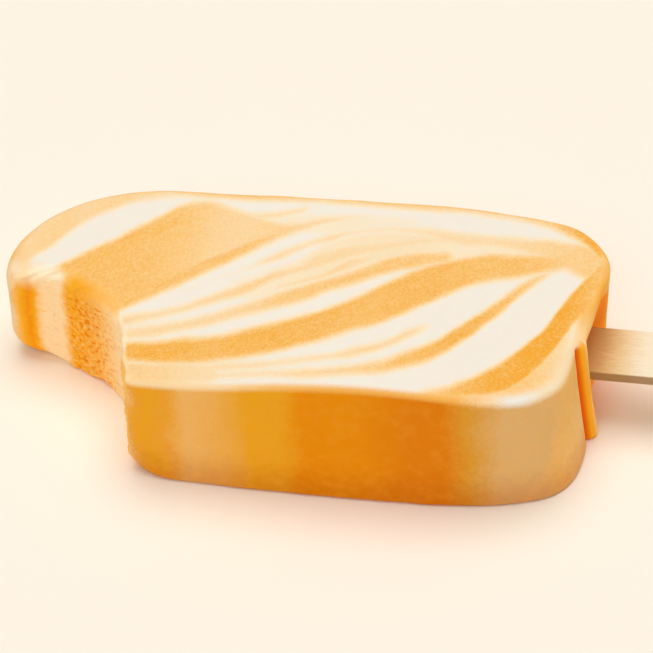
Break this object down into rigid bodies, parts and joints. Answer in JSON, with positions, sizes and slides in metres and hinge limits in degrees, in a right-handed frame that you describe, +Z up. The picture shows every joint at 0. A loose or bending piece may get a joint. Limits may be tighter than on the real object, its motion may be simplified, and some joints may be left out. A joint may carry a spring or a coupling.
{
  "type": "ice cream bar",
  "caption": "Bitten slab of swirled fruit and cream ice on a flat wooden stick, lying on its broad face.",
  "frame": {"origin": "centre of the whole's box, on the surface that it lies on", "axes": "+X from the bitten end towards the stick's free end, +Y away from the bite's side, +Z up out of the upper cut face"},
  "size_m": [0.159, 0.0464, 0.0247],
  "materials": {
    "ice_cream": "soft matte ice, marbled pale orange and cream white",
    "stick_wood": "plain sanded birch"
  },
  "bodies": {
    "root": {"ice_cream": "ice_cream", "stick": "stick_wood"}
  },
  "joints": []
}
